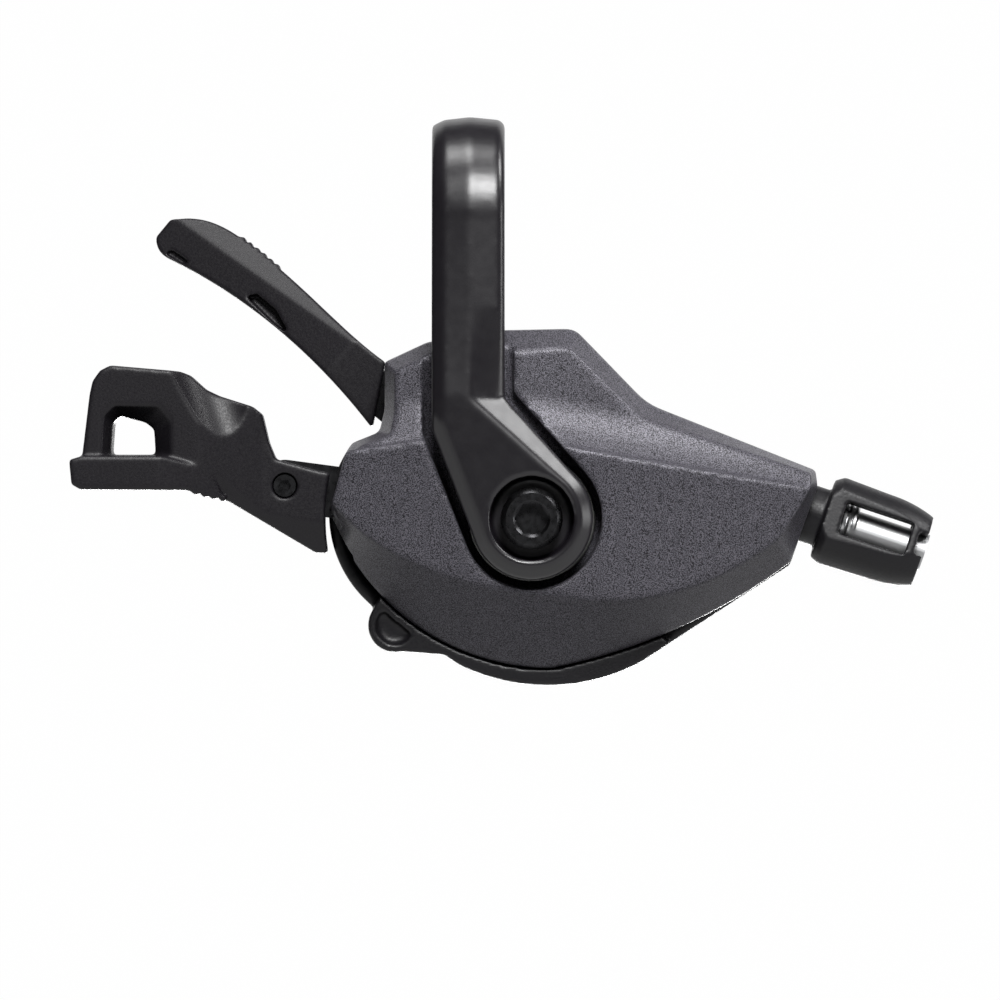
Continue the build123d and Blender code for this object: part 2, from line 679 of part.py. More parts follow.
def make_winding_pawl():
    pawl = slab(pawl_outline(WINDING_ANGLE), PAWL_FRONT, PAWL_BACK)
    pawl -= disc(PIN_RADIUS + RUN_FIT, PAWL_FRONT, PAWL_BACK, polar(PAWL_PIVOT_RADIUS, WINDING_ANGLE))
    return lifted(pawl, WINDING_ANGLE)


def make_position_pawl():
    centre = polar(PAWL_PIVOT_RADIUS, HOLDING_ANGLE)
    front = RELEASE_FRONT + SLIDE_GAP
    tail_back = RELEASE_BACK - SLIDE_GAP
    tail = bar_outline(centre, polar(PAWL_PIVOT_RADIUS - TAIL_LENGTH, HOLDING_ANGLE), TAIL_WIDTH)
    pawl = slab(pawl_outline(HOLDING_ANGLE), PAWL_FRONT, PAWL_BACK)
    pawl += disc(PAWL_HUB_RADIUS, front, PAWL_BACK, centre)
    pawl += slab(tail, front, tail_back)
    pawl -= disc(PIN_RADIUS + RUN_FIT, front, PAWL_BACK, centre)
    return lifted(pawl, HOLDING_ANGLE)


def make_winding_pawl_pin():
    centre = polar(PAWL_PIVOT_RADIUS, WINDING_ANGLE)
    return disc(PIN_RADIUS, PAWL_FRONT - RATCHET_WIDTH, PLATE_BACK, centre)


def make_position_pawl_pin():
    centre = polar(PAWL_PIVOT_RADIUS, HOLDING_ANGLE)
    return disc(PIN_RADIUS, BRACKET_BACK - BRACKET_PLATE, BASE_BACK, centre)


def make_winding_pawl_spring():
    front = PAWL_FRONT - RATCHET_WIDTH
    centre = polar(PAWL_PIVOT_RADIUS, WINDING_ANGLE)
    return coil_at(centre, front, PIN_RADIUS + SPRING_WIRE + RUN_FIT, SPRING_WIRE, 1)


def make_position_pawl_spring():
    centre = polar(PAWL_PIVOT_RADIUS, HOLDING_ANGLE)
    return coil_at(centre, PAWL_BACK + SLIDE_GAP, PIN_RADIUS + SPRING_WIRE + RUN_FIT, SPRING_WIRE, 2)


# Main lever

def main_point(along, across):
    """Point of the X-Z plane in the main lever's own direction."""
    turn = math.radians(MAIN_ANGLE)
    return at(
        along * math.cos(turn) - across * math.sin(turn), along * math.sin(turn) + across * math.cos(turn)
    )


def main_plate_outline(grow=0.0):
    outline = Pos(*PIVOT) * Circle(WASHER_RADIUS + MAIN_HUB_LAND + grow)
    outline += bar_outline(PIVOT, main_point(MAIN_SCREW_REACH, 0), MAIN_ARM_WIDTH + 2 * grow)
    ear = bar_outline(PIVOT, polar(PAWL_PIVOT_RADIUS, WINDING_ANGLE), 2 * (PAWL_HUB_RADIUS + grow))
    return outline + ear


def make_main_lever_plate():
    plate = slab(main_plate_outline(), PLATE_FRONT, PLATE_BACK)
    plate -= disc(AXLE_RADIUS + RUN_FIT, PLATE_FRONT, PLATE_BACK)
    plate -= disc(PIN_RADIUS + THREAD_FIT, PLATE_FRONT, PLATE_BACK, polar(PAWL_PIVOT_RADIUS, WINDING_ANGLE))
    screw = main_point(MAIN_SCREW_REACH, 0)
    return plate - disc(SCREW_RADIUS + THREAD_FIT, PLATE_FRONT, PLATE_BACK, screw)


def main_prism(points):
    """Prism across the main lever from points of (distance along it, depth)."""
    turn = math.radians(MAIN_ANGLE)
    plane = Plane(
        origin=(PIVOT[0], 0, PIVOT[1]),
        x_dir=(math.cos(turn), 0, math.sin(turn)),
        z_dir=(math.sin(turn), 0, -math.cos(turn)),
    )
    depth_sign = plane.y_dir.Y
    drawn = plane * polygon(*[(along, depth * depth_sign) for along, depth in points])
    return extrude(drawn, amount=REACH_FAR / 2, both=True)


def main_front(sink):
    """Front of the main lever's cap as points along it, sunk by a depth; the tip leans back."""
    front = PLATE_FRONT - MAIN_CAP_FRONT + sink
    return [
        (MAIN_CAP_ROOT - MAIN_CAP_LAP, front), (MAIN_CAP_STRAIGHT, front),
        (MAIN_TIP_REACH, PLATE_FRONT + MAIN_TIP_FRONT + sink),
    ]


def main_depth(point):
    """Depth of the leaning front of the main lever's cap at a point of the X-Z plane."""
    turn = math.radians(MAIN_ANGLE)
    along = (point[0] - PIVOT_X) * math.cos(turn) + (point[1] + PIVOT_DROP) * math.sin(turn)
    lean = (MAIN_CAP_FRONT + MAIN_TIP_FRONT) / (MAIN_TIP_REACH - MAIN_CAP_STRAIGHT)
    return PLATE_FRONT - MAIN_CAP_FRONT + lean * (along - MAIN_CAP_STRAIGHT)


def main_ridge():
    """Wedge that bevels the upper front edge of the main lever's cap."""
    low, high, edge = at(-27.5, 26.3), at(-46.5, 39.6), at(-38.0, 37.1)
    reach = polygon(at(-15.0, 17.5), at(-54.0, 44.8), at(-40.0, 60.0), at(-10.0, 40.0))
    return wedge(
        (*low, main_depth(low)), (*high, main_depth(high)), (*edge, main_depth(edge) + MAIN_EDGE_DROP), reach
    )


def main_dish(outline, sink):
    """Recess of one depth in the leaning front of the main lever's cap."""
    ahead = PLATE_FRONT - MAIN_TIP_BACK
    space = [*main_front(sink), (MAIN_TIP_REACH, ahead), (MAIN_CAP_ROOT - MAIN_CAP_LAP, ahead)]
    return slab(outline, ahead, PLATE_FRONT + MAIN_TIP_BACK) & main_prism(space)


def make_main_lever_cap():
    back = PLATE_BACK + MAIN_CAP_BACK
    tip_back = PLATE_FRONT + MAIN_TIP_BACK
    upper = Spline(at(-19.8, 21.2), at(-29.9, 30.1), at(-38.0, 37.1), at(-44.1, 40.6), at(-48.2, 40.9))
    lower = Spline(at(-21.6, 12.2), at(-29.6, 21.3), at(-40.1, 30.0), at(-49.7, 35.6))
    tip = ThreePointArc(upper @ 1, at(-51.2, 38.6), lower @ 1)
    outline = make_face((upper + tip + lower + Line(upper @ 0, lower @ 0)).edges())
    for rib in range(MAIN_RIBS):
        middle = upper @ (MAIN_RIB_START + rib * MAIN_RIB_STEP)
        outline += Pos(middle.X, middle.Y) * Circle(MAIN_RIB_RADIUS)
    outline -= Pos(*PIVOT) * Circle(MAIN_CAP_ROOT)
    side = [
        *main_front(0), (MAIN_TIP_REACH, tip_back), (MAIN_TIP_REACH - MAIN_TIP_FLAT, tip_back),
        (MAIN_CAP_STRAIGHT, back), (MAIN_CAP_ROOT - MAIN_CAP_LAP, back),
    ]
    cap = slab(outline, PLATE_FRONT - MAIN_CAP_FRONT, tip_back) & main_prism(side)
    dish = polygon(
        at(-38.9, 30.3), at(-37.3, 30.5), at(-34.8, 28.4), at(-32.7, 24.7), at(-34.8, 26.3), at(-37.0, 28.4)
    )
    cap -= main_ridge()
    cap -= main_dish(dish, MAIN_DISH)
    cap -= main_dish(polygon(at(-50.2, 36.3), at(-49.0, 36.6), at(-46.5, 34.9), at(-47.5, 34.6)), MAIN_SLOT)
    cap -= slab(main_plate_outline(CAP_FIT), PLATE_FRONT - CAP_FIT, PLATE_BACK + CAP_FIT)
    screw = main_point(MAIN_SCREW_REACH, 0)
    cap -= disc(SCREW_RADIUS + HOLE_FIT, PLATE_BACK, back, screw)
    return cap - disc(SCREW_HEAD_RADIUS + HOLE_FIT, back - SCREW_HEAD_HEIGHT, tip_back, screw)


def make_main_lever_screw():
    length = MAIN_CAP_BACK + LEVER_PLATE
    screw = main_point(MAIN_SCREW_REACH, 0)
    return socket_screw(screw, PLATE_BACK + MAIN_CAP_BACK, length, -1)


def make_main_lever_spring():
    return coil_at(PIVOT, PLATE_BACK + SLIDE_GAP, AXLE_RADIUS + 2 * SPRING_WIRE, SPRING_WIRE, 2)


# Release lever

def release_plate_outline(grow=0.0):
    outline = Pos(*PIVOT) * Circle(RELEASE_RING_RADIUS + grow)
    end = polar(RELEASE_SCREW_REACH, RELEASE_ANGLE)
    return outline + bar_outline(PIVOT, end, RELEASE_ARM_WIDTH + 2 * grow)


def make_release_lever_plate():
    outline = release_plate_outline()
    fork = PAWL_PIVOT_RADIUS - TAIL_LENGTH
    fork_span = math.degrees((FORK_GAP / 2 + TAIL_WIDTH) / fork)
    gap_span = math.degrees(FORK_GAP / 2 / fork)
    reach = fork + TAIL_WIDTH / 2
    prongs = sector(COLLAR_RADIUS, reach, HOLDING_ANGLE - fork_span, HOLDING_ANGLE + fork_span)
    gap = sector(RELEASE_RING_RADIUS, fork + TAIL_WIDTH, HOLDING_ANGLE - gap_span, HOLDING_ANGLE + gap_span)
    plate = slab(outline + prongs - gap, RELEASE_FRONT, RELEASE_BACK)
    plate -= disc(COLLAR_RADIUS + RUN_FIT, RELEASE_FRONT, RELEASE_BACK)
    screw = polar(RELEASE_SCREW_REACH, RELEASE_ANGLE)
    return plate - disc(SCREW_RADIUS + THREAD_FIT, RELEASE_FRONT, RELEASE_BACK, screw)


def release_silhouette():
    """Release lever from the front: arm, finger along the bottom and pad along the top."""
    return polygon(
        at(-59.4, 16.7), at(-59.0, 18.5), at(-58.0, 19.9), at(-56.6, 20.6), at(-47.3, 19.8), at(-46.0, 19.3),
        at(-43.9, 17.4), at(-42.0, 16.5), at(-37.6, 15.1), at(-36.2, 14.0), at(-35.3, 10.2), at(-34.4, 8.0),
        at(-29.3, 6.6), at(-24.0, 5.4), at(-24.0, -4.9), at(-29.1, -4.6), at(-41.4, 2.7), at(-46.3, 3.8),
        at(-60.6, 3.9), at(-61.8, 4.6), at(-62.1, 7.9), at(-60.4, 8.4),
    )


def release_taper(root, finger):
    """Wedge that leans one side of the release lever from its root depth to its finger's depth."""
    start, end = RELEASE_TAPER
    ahead = 2 * finger - root
    profile = [(0, ahead), (0, root), (start, root), (end, finger), (end, ahead)]
    return edge_prism((RELEASE_TAPER_ROOT, -REACH_FAR), (RELEASE_TAPER_ROOT, REACH_FAR), profile)


def arm_edge():
    """Wedge that bevels the lower front edge of the release lever's arm."""
    crease = at(-29.9, -0.4)
    crease_end = at(-43.4, 6.8)
    start, end = RELEASE_TAPER
    lean = (FINGER_RISE - RELEASE_CAP_RISE) * (RELEASE_TAPER_ROOT - start - crease_end[0]) / (end - start)
    reach = polygon(at(-24.0, 4.0), at(-24.0, -8.0), at(-43.6, -1.0), at(-43.6, 7.0))
    return wedge(
        (*crease, RELEASE_CAP_FRONT), (*crease_end, RELEASE_CAP_FRONT - lean),
        (*at(-28.6, -4.4), RELEASE_CAP_FRONT + ARM_EDGE_DROP), reach,
    )


def make_release_lever_cap():
    window = polygon(
        at(-56.6, 8.6), at(-56.3, 12.9), at(-55.3, 13.8), at(-51.9, 12.9), at(-50.8, 12.0), at(-50.6, 8.6)
    )
    mouth = polygon(
        at(-57.8, 8.4), at(-57.5, 13.9), at(-56.2, 15.2), at(-49.9, 15.2), at(-48.4, 13.2), at(-48.4, 8.4)
    )
    finger = polygon(
        at(-62.1, 7.9), at(-60.4, 8.4), at(-49.6, 8.4), at(-43.2, 6.6), at(-41.4, 2.7), at(-46.3, 3.8),
        at(-60.6, 3.9), at(-61.8, 4.6),
    )
    cap = slab(release_silhouette(), PAD_FRONT, PAD_BACK)
    cap -= loft_between(mouth, PAD_FRONT, window, PAD_FRONT + WINDOW_FLARE)
    cap -= slab(window, PAD_FRONT, PAD_BACK)
    thumb_x, thumb_z = at(-41.0, 16.7)
    thumb = Plane(origin=(thumb_x, PAD_FRONT - THUMB_SET, thumb_z), z_dir=THUMB_LEAN)
    cap -= thumb.location * Cylinder(THUMB_RADIUS, 4 * THUMB_RADIUS)
    cap -= arm_edge()
    cap += slab(finger, FINGER_FRONT, FINGER_BACK)
    ribbed = Line(at(-45.1, 3.6), at(-41.5, 2.7))
    for rib in range(RELEASE_RIBS):
        centre = ribbed @ (rib / (RELEASE_RIBS - 1))
        cap += disc(RELEASE_RIB_RADIUS, PAD_FRONT, PAD_BACK, (centre.X, centre.Y))
    cap -= disc(RELEASE_CAP_RADIUS, FINGER_FRONT, FINGER_BACK)
    cap -= release_taper(RELEASE_CAP_FRONT, FINGER_FRONT)
    cap -= release_taper(RELEASE_CAP_BACK, FINGER_BACK)
    cap -= slab(release_plate_outline(CAP_FIT), RELEASE_FRONT - CAP_FIT, RELEASE_BACK + CAP_FIT)
    screw = polar(RELEASE_SCREW_REACH, RELEASE_ANGLE)
    cap -= disc(SCREW_RADIUS + HOLE_FIT, RELEASE_CAP_FRONT, RELEASE_FRONT, screw)
    seat = RELEASE_CAP_FRONT + SCREW_HEAD_HEIGHT
    return cap - disc(RELEASE_SCREW_HEAD + HOLE_FIT, FINGER_FRONT, seat, screw)


def make_release_lever_screw():
    length = RELEASE_BACK - RELEASE_CAP_FRONT
    screw = polar(RELEASE_SCREW_REACH, RELEASE_ANGLE)
    return socket_screw(screw, RELEASE_CAP_FRONT, length, head_radius=RELEASE_SCREW_HEAD)


def make_release_spring():
    radius, angle = POSTS[1]
    around = POST_RADIUS + SPRING_WIRE + RUN_FIT
    return coil_at(polar(radius, angle), BRACKET_BACK + SLIDE_GAP, around, SPRING_WIRE, 2)


# Cable adjuster

def outlet_plane():
    """Adjuster axis as local Z, local X towards the cover, from the point where the cable leaves the drum."""
    turn = math.radians(OUTLET_SLOPE)
    leave = at(CABLE_RADIUS * math.sin(turn), CABLE_RADIUS * math.cos(turn))
    return Plane(
        origin=(leave[0], CABLE_Y, leave[1]), x_dir=(0, -1, 0), z_dir=(math.cos(turn), 0, -math.sin(turn))
    )


def along_outlet(radius, start, end):
    """Cylinder on the adjuster axis."""
    body = Pos(0, 0, start) * Cylinder(radius, end - start, align=(Align.CENTER, Align.CENTER, Align.MIN))
    return outlet_plane().location * body


def make_adjuster_knob():
    waist = KNOB_START + KNOB_BARREL * KNOB_LENGTH
    side = Polyline(
        (0, KNOB_END), (0, KNOB_START), (KNOB_RADIUS - KNOB_SHOULDER, KNOB_START),
        (KNOB_RADIUS, KNOB_START + KNOB_LEAD), (KNOB_RADIUS - KNOB_DRAFT, waist),
    )
    cheek = (KNOB_RADIUS - 2 * KNOB_DRAFT, (waist + KNOB_END) / 2)
    nose = ThreePointArc(side @ 1, cheek, (KNOB_END_RADIUS, KNOB_END))
    profile = make_face((side + nose + Line(nose @ 1, side @ 0)).edges())
    knob = revolve(Plane.XZ * profile, Axis.Z)
    window_length = CAVITY_END - CAVITY_START - KNOB_WALL
    window_middle = (CAVITY_START + CAVITY_END) / 2
    for number in range(KNOB_SIDES):
        spin = Rot(0, 0, number * 360.0 / KNOB_SIDES - KNOB_WINDOW_TURN)
        flat_cut = Pos(KNOB_FLAT + KNOB_RADIUS / 2, 0, (KNOB_START + KNOB_END) / 2)
        knob -= spin * flat_cut * Box(KNOB_RADIUS, 2 * KNOB_RADIUS, KNOB_LENGTH)
        knob -= spin * Pos(KNOB_RADIUS / 2, 0, window_middle) * Box(KNOB_RADIUS, KNOB_WINDOW, window_length)
        notch = Box(KNOB_RADIUS, KNOB_NOTCH, 2 * KNOB_NOTCH_DEPTH)
        knob -= spin * Pos(KNOB_RADIUS / 2, 0, KNOB_END) * notch
    knob = outlet_plane().location * knob
    knob += along_outlet(SPIGOT_RADIUS, KNOB_START - SPIGOT_LENGTH, KNOB_START)
    knob -= along_outlet(KNOB_CAVITY_RADIUS, CAVITY_START, CAVITY_END)
    return knob - along_outlet(TUBE_RADIUS + RUN_FIT, KNOB_START - SPIGOT_LENGTH, KNOB_END)


def make_adjuster_bolt():
    end = KNOB_END + TUBE_PROUD
    bolt = along_outlet(TUBE_RADIUS, KNOB_START - SPIGOT_LENGTH, end)
    bolt -= along_outlet(TUBE_BORE, KNOB_START - SPIGOT_LENGTH, end)
    return bolt - along_outlet(SOCKET_RADIUS, end - SOCKET_DEPTH, end)


def make_adjuster_spring():
    radius = TUBE_RADIUS + ADJUSTER_WIRE + RUN_FIT
    wound = coil(radius, ADJUSTER_WIRE, ADJUSTER_TURNS, 2 * ADJUSTER_WIRE + COIL_GAP)
    return outlet_plane().location * (Pos(0, 0, CAVITY_START + ADJUSTER_WIRE + RUN_FIT) * wound)


# Housing, with the top corner and the bend to the outlet that cover and rear housing share

TOP_CORNER = at(5.8, 25.6)
TOP_BEND = at(15.6, 15.5)


def lower_plateau():
    """Front face of the cover."""
    west = at(-26.7, 2.2)
    south = at(3.9, -9.9)
    sides = Polyline(west, at(-25.2, 8.7), at(-14.4, 10.5), at(1.8, 10.2), at(37.0, 3.9), at(32.3, -1.1))
    right = ThreePointArc(at(32.3, -1.1), at(21.4, -8.3), south)
    left = ThreePointArc(south, at(-12.0, -6.8), west)
    return make_face((sides + right + left).edges())


def lower_rim():
    """Edge of the cover below the crease."""
    west = at(-27.3, 1.2)
    south = at(2.5, -20.2)
    sides = Polyline(west, at(-24.2, 10.2), at(-14.0, 11.4), at(2.0, 11.2), at(38.4, 4.6), at(34.9, -5.9))
    right = ThreePointArc(at(34.9, -5.9), at(19.5, -14.9), south)
    left = ThreePointArc(south, at(-14.4, -15.2), west)
    return make_face((sides + right + left).edges())


def upper_rim():
    """Edge of the cover above the crease."""
    outline = polygon(
        at(-20.5, 11.7), at(-19.8, 14.7), at(-19.8, 21.1), at(-14.0, 23.8), at(-3.6, 25.4), TOP_CORNER,
        TOP_BEND, at(38.3, 6.5), at(38.6, 4.3), at(34.9, -5.9), at(2.5, -12.0),
        at(-23.6, 4.0), at(-24.2, 10.2),
    )
    return rounded(outline, ((TOP_CORNER, TOP_CORNER_RADIUS), (TOP_BEND, TOP_BEND_RADIUS)))


def upper_face():
    """Front of the cover above the crease."""
    corner = at(4.0, 20.7)
    bend = at(13.8, 11.4)
    outline = polygon(
        at(-18.4, 11.0), at(-17.2, 14.0), at(-16.8, 18.4), at(-12.6, 20.2), at(-3.6, 20.6), corner, bend,
        at(36.6, 5.6), at(36.9, 4.2), at(32.0, -2.0), at(2.5, -8.0), at(-22.0, 4.0), at(-22.6, 9.6),
    )
    return rounded(outline, ((corner, TOP_CORNER_RADIUS), (bend, TOP_BEND_RADIUS)))


def crease_roll(front):
    """Section of the hollow above the crease: a ledge that rolls back into a nearly flat panel."""
    foot = (ROLL_WIDTH, -front - ROLL_DEPTH)
    far = (UPPER_RUN, -front - UPPER_RECESS)
    ahead = -front + UPPER_RECESS
    roll = ThreePointArc((0, -front), (ROLL_WIDTH * ROLL_BEND, -front - ROLL_DEPTH * (1 - ROLL_BEND)), foot)
    rest = Polyline(foot, far, (UPPER_RUN, ahead), (0, ahead), (0, -front))
    return make_face((roll + rest).edges())


def upper_block(inset):
    """Upper part of the cover, behind the crease, drawn in by a wall for its hollow."""
    face = upper_face()
    rim = upper_rim()
    front = COVER_FACE + CREASE_STEP
    if inset:
        face = offset(face, -inset, kind=Kind.INTERSECTION)
        rim = offset(rim, -inset, kind=Kind.INTERSECTION)
    block = loft_between(face, front + inset, rim, COVER_RIM) + slab(rim, COVER_RIM, PARTING)
    right = crease_roll(front + inset)
    left = crease_roll(front + inset + LEFT_LEAN)
    block -= along_edge(at(-3.0, 11.2), at(40.0, 3.4), right, ROLL_LAP, RIGHT_LEAN)
    return block - along_edge(at(-27.0, 8.4), at(-3.0, 12.4), left, ROLL_LAP, -LEFT_LEAN)


def lower_block(inset):
    """Plateau and skirt of the cover, drawn in by a wall for its hollow."""
    face = lower_plateau()
    rim = lower_rim()
    if inset:
        face = offset(face, -inset, kind=Kind.INTERSECTION)
        rim = offset(rim, -inset, kind=Kind.INTERSECTION)
    front = COVER_FACE + inset
    skirt = loft_between(face, front, rim, COVER_RIM) + slab(rim, COVER_RIM, PARTING)
    return skirt + slab(face, front - CREASE_STEP, front)


def crown(inset):
    """Space in front of the gentle round across the cover, drawn in by a wall for its hollow."""
    apex = COVER_FACE + CROWN_SINK + inset
    radius = CROWN_RADIUS - inset
    drop = radius - math.sqrt(radius ** 2 - (CROWN_SPAN / 2) ** 2)
    left = (PIVOT_X - CROWN_SPAN / 2, apex + drop)
    right = (PIVOT_X + CROWN_SPAN / 2, apex + drop)
    ahead = COVER_FACE - 2 * CREASE_STEP
    rim = Polyline(right, (right[0], ahead), (left[0], ahead), left)
    face = make_face((ThreePointArc(left, (PIVOT_X, apex), right) + rim).edges())
    return extrude(Pos(0, 0, -PIVOT_DROP) * face, amount=CROWN_SPAN / 2, both=True)


def outlet_limit():
    """Space to the left of the solid end that carries the adjuster."""
    body = Pos(0, 0, OUTLET_SOLID) * Box(
        REACH_FAR, REACH_FAR, REACH_FAR, align=(Align.CENTER, Align.CENTER, Align.MAX)
    )
    return outlet_plane().location * body


def make_front_cover():
    cover = upper_block(0) + lower_block(0) - crown(0)
    hollow = (upper_block(COVER_WALL) + lower_block(COVER_WALL) - crown(COVER_WALL)) & outlet_limit()
    for pocket, well in zip(arm_outlines(POCKET_GAP), arm_outlines(POCKET_GAP + WELL_WALL)):
        cover -= slab(pocket, COVER_FACE - 2 * CREASE_STEP, SEAT + SLIDE_GAP)
        hollow -= slab(well, COVER_FACE - 2 * CREASE_STEP, WELL_BACK)
    cover -= hollow
    cover -= disc(HUB_RADIUS + HOLE_FIT, COVER_FACE, WELL_BACK)
    half = RELEASE_SWING + math.degrees(RELEASE_ARM_WIDTH / 2 / LEVER_SWEEP_RADIUS) + SLOT_LEAD
    inner, outer = LEVER_SWEEP_RADIUS - SLOT_INSIDE, LEVER_SWEEP_RADIUS + SLOT_OUTSIDE
    slot = sector(inner, outer, RELEASE_ANGLE - half, RELEASE_ANGLE + half)
    cover -= slab(slot, RELEASE_FRONT - SLOT_CLEARANCE, PARTING)
    hole_front = PARTING - COVER_SCREW_BITE - RELEASE_GAP
    return cover - disc(SCREW_RADIUS + THREAD_FIT, hole_front, PARTING, at(*COVER_SCREW_PLACE))


def silhouette():
    """Outline of the rear housing without its ear."""
    top = Polyline(
        at(-24.2, 10.2), at(-20.5, 11.7), at(-19.8, 14.7), at(-19.8, 21.1), at(-14.0, 23.8), at(-3.6, 25.4),
        TOP_CORNER, TOP_BEND, at(38.3, 6.5), at(38.6, 4.3), at(34.9, -6.3), at(14.7, -19.4),
    )
    bottom = ThreePointArc(at(14.7, -19.4), at(2.5, -22.5), at(-9.6, -19.8))
    slope = Line(at(-9.6, -19.8), at(-20.5, -12.6))
    left = ThreePointArc(at(-20.5, -12.6), at(-27.3, 1.8), at(-24.2, 10.2))
    outline = make_face((top + bottom + slope + left).edges())
    return rounded(outline, ((TOP_CORNER, TOP_CORNER_RADIUS), (TOP_BEND, TOP_BEND_RADIUS)))


def rear_block(inset):
    """Rear housing, drawn in by a wall for its hollow; the main lever sweeps round its narrow back."""
    outline = silhouette()
    back = FLOOR_FRONT if inset else FLOOR_BACK
    if inset:
        outline = offset(outline, -inset, kind=Kind.INTERSECTION)
    right = Pos(PIVOT_X + REACH_FAR / 2, -PIVOT_DROP) * Rectangle(REACH_FAR, REACH_FAR)
    narrow = outline & (Pos(*PIVOT) * Circle(LEVER_SWEEP_RADIUS - inset) + right)
    block = slab(outline, PARTING, LEVER_SWEEP_FRONT - inset) + slab(narrow, PARTING, back)
    tail = TAIL_DEPTH - inset
    beyond = FLOOR_BACK + TAIL_TAPER_LENGTH
    taper = [(0, FLOOR_BACK - inset), (TAIL_TAPER_LENGTH, tail), (TAIL_TAPER_LENGTH, beyond), (0, beyond)]
    top = at(TAIL_TAPER_START, REACH_FAR / 2)
    bottom = at(TAIL_TAPER_START, -REACH_FAR / 2)
    return block - edge_prism(top, bottom, taper)


def housing_lip():
    """Smooth strip of the rear housing that shows below the cover, with the ear at its left end."""
    span = sector(WASHER_RADIUS, REACH_FAR, *LIP_SPAN)
    strip = (silhouette() - offset(lower_rim(), LIP_GAP)) & span
    lip = slab(strip, LIP_FRONT, PARTING)
    tab = Pos(*at(*EAR_PLACE)) * Circle(EAR_RADIUS)
    root = polygon(at(-21.8, -13.0), at(-17.0, -18.0), at(-8.0, -18.6), at(-18.0, -6.0))
    ear = (tab + root) - offset(lower_rim(), LIP_GAP)
    lip += slab(ear, LIP_FRONT, PARTING) + slab(tab + root, PARTING, PARTING + EAR_DEPTH)
    dish = (Pos(*at(*EAR_PLACE)) * Circle(EAR_RADIUS - EAR_RIM)) - offset(lower_rim(), LIP_GAP + EAR_RIM)
    return lip - slab(dish, LIP_FRONT, LIP_FRONT + EAR_DISH)


def make_rear_housing():
    housing = rear_block(0) + housing_lip()
    housing -= rear_block(HOUSING_WALL) & outlet_limit()
    half = math.degrees(MAIN_ARM_WIDTH / 2 / LEVER_SWEEP_RADIUS) + SLOT_LEAD
    inner, outer = LEVER_SWEEP_RADIUS - SLOT_INSIDE, LEVER_SWEEP_RADIUS + SLOT_OUTSIDE
    slot = sector(inner, outer, MAIN_ANGLE - half, MAIN_ANGLE + MAIN_SWEEP + half)
    housing -= slab(slot, PLATE_FRONT - SLOT_CLEARANCE, PLATE_BACK + SLOT_CLEARANCE)
    housing -= disc(NUT_ACROSS_FLATS / 2 + NUT_ROOM, FLOOR_FRONT, FLOOR_BACK)
    for radius, angle in POSTS:
        centre = polar(radius, angle)
        housing -= disc(SCREW_RADIUS + HOLE_FIT, FLOOR_FRONT, FLOOR_BACK, centre)
        housing -= disc(SCREW_HEAD_RADIUS + HOLE_FIT, FLOOR_BACK - SCREW_HEAD_HEIGHT, FLOOR_BACK, centre)
    housing -= along_outlet(SPIGOT_RADIUS + RUN_FIT, 0, REACH_FAR)
    beyond = Box(REACH_FAR, REACH_FAR, REACH_FAR, align=(Align.CENTER, Align.CENTER, Align.MIN))
    housing -= outlet_plane().location * Pos(0, 0, OUTLET_REACH) * beyond
    screw = at(*COVER_SCREW_PLACE)
    housing -= disc(SCREW_RADIUS + HOLE_FIT, PARTING, FLOOR_BACK, screw)
    return housing - disc(SCREW_HEAD_RADIUS + HOLE_FIT, COVER_SCREW_SEAT, FLOOR_BACK, screw)


def make_cover_screw():
    length = SCREW_HEAD_HEIGHT + COVER_SCREW_SEAT - PARTING + COVER_SCREW_BITE
    return socket_screw(at(*COVER_SCREW_PLACE), COVER_SCREW_SEAT + SCREW_HEAD_HEIGHT, length, -1)


MAKERS = {
    "front_cover": make_front_cover,
    "rear_housing": make_rear_housing,
    "cover_screw": make_cover_screw,
    "housing_screws": make_housing_screws,
    "clamp_band": make_clamp_band,
    "clamp_bolt": make_clamp_bolt,
    "bracket": make_bracket,
    "base_plate": make_base_plate,
    "frame_posts": make_frame_posts,
    "axle": make_axle,
    "axle_nut": make_axle_nut,
    "thrust_washer": make_thrust_washer,
    "cable_drum": make_cable_drum,
    "ratchet_wheel": make_ratchet_wheel,
    "drum_spring": make_drum_spring,
    "winding_pawl": make_winding_pawl,
    "winding_pawl_pin": make_winding_pawl_pin,
    "winding_pawl_spring": make_winding_pawl_spring,
    "position_pawl": make_position_pawl,
    "position_pawl_pin": make_position_pawl_pin,
    "position_pawl_spring": make_position_pawl_spring,
    "main_lever_plate": make_main_lever_plate,
    "main_lever_cap": make_main_lever_cap,
    "main_lever_screw": make_main_lever_screw,
    "main_lever_spring": make_main_lever_spring,
    "release_lever_plate": make_release_lever_plate,
    "release_lever_cap": make_release_lever_cap,
    "release_lever_screw": make_release_lever_screw,
    "release_spring": make_release_spring,
    "adjuster_knob": make_adjuster_knob,
    "adjuster_bolt": make_adjuster_bolt,
    "adjuster_spring": make_adjuster_spring,
}

os.makedirs("parts", exist_ok=True)
for node, maker in MAKERS.items():
    made = maker()
    solids = made if isinstance(made, list) else made.solids()
    export_step(Compound(children=solids), f"parts/{node}.step")
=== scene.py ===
import math

